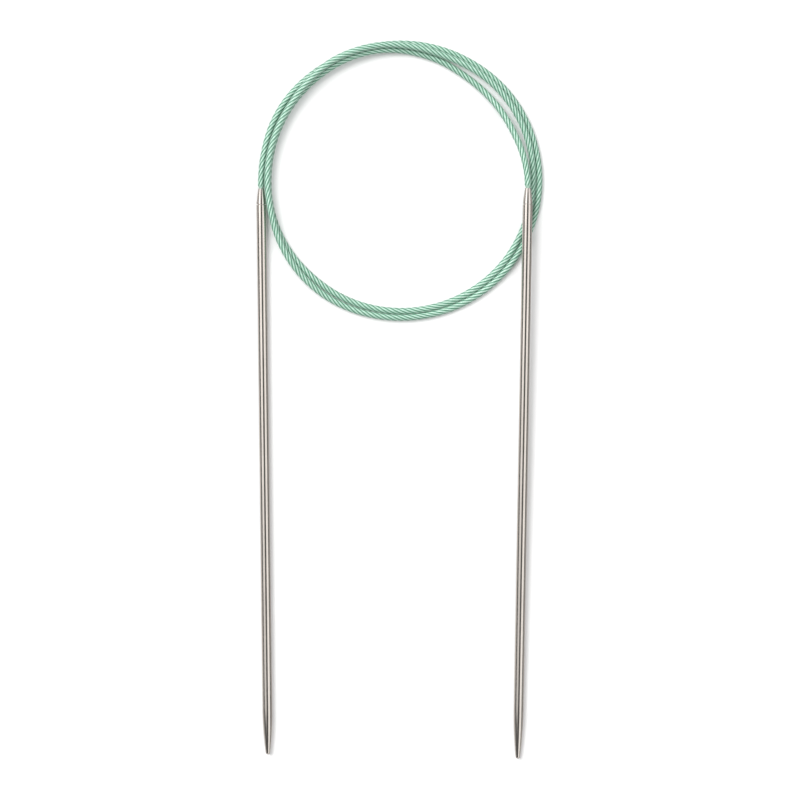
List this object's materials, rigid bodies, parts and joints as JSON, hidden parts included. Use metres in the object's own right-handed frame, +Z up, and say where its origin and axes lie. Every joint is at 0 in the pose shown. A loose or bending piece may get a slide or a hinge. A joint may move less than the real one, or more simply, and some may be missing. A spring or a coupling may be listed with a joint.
{
  "type": "circular knitting needle",
  "caption": "Circular knitting needle: slim steel needles with ground points and tapered collars, joined by a long mint-green coated wire-rope cable lying in a loose coil.",
  "frame": {"origin": "on the table, under the middle of the box around the two needles (the cable is left out of that box)", "axes": "+Z up from the table, +Y along the needles from their points towards the cable's coil, +X from the left needle to the right one"},
  "size_m": [0.0651, 0.1633, 0.0044],
  "materials": {
    "needle_steel": "stainless steel, finely polished lengthwise, clear reflections",
    "collar_steel": "stainless steel, turned and polished",
    "crimp_steel": "plain crimped steel sleeve, satin",
    "wire_rope": "bare stranded steel wire",
    "mint_nylon": "mint-green translucent nylon drawn tightly over the rope, so that its strands stand out, glossy"
  },
  "bodies": {
    "cable": {"cable_jacket": "mint_nylon", "cable_core": "wire_rope"},
    "left_cable_end": {"left_core_end": "wire_rope", "left_cable_stop": "crimp_steel"},
    "left_needle": {"left_shank": "needle_steel", "left_collar": "collar_steel"},
    "right_cable_end": {"right_core_end": "wire_rope", "right_cable_stop": "crimp_steel"},
    "right_needle": {"right_shank": "needle_steel", "right_collar": "collar_steel"}
  },
  "joints": [
    {"name": "left_neck_bend", "type": "hinge", "parent": "cable", "child": "left_cable_end", "pos_m": [-0.03031, 0.06487, 0.00112], "axis": [0, 0, 1], "range_deg": [-20, 0], "stiffness_Nm_per_rad": 0.01},
    {"name": "left_swivel", "type": "hinge", "parent": "left_cable_end", "child": "left_needle", "pos_m": [-0.03031, 0.06487, 0.00112], "axis": [-0.012, 0.9999, 0], "continuous": true},
    {"name": "right_neck_bend", "type": "hinge", "parent": "cable", "child": "right_cable_end", "pos_m": [0.03034, 0.06487, 0.0033], "axis": [0, 0, 1], "range_deg": [-20, 20], "stiffness_Nm_per_rad": 0.01},
    {"name": "right_swivel", "type": "hinge", "parent": "right_cable_end", "child": "right_needle", "pos_m": [0.03034, 0.06487, 0.0033], "axis": [0.0174, 0.9997, 0.0183], "continuous": true}
  ]
}
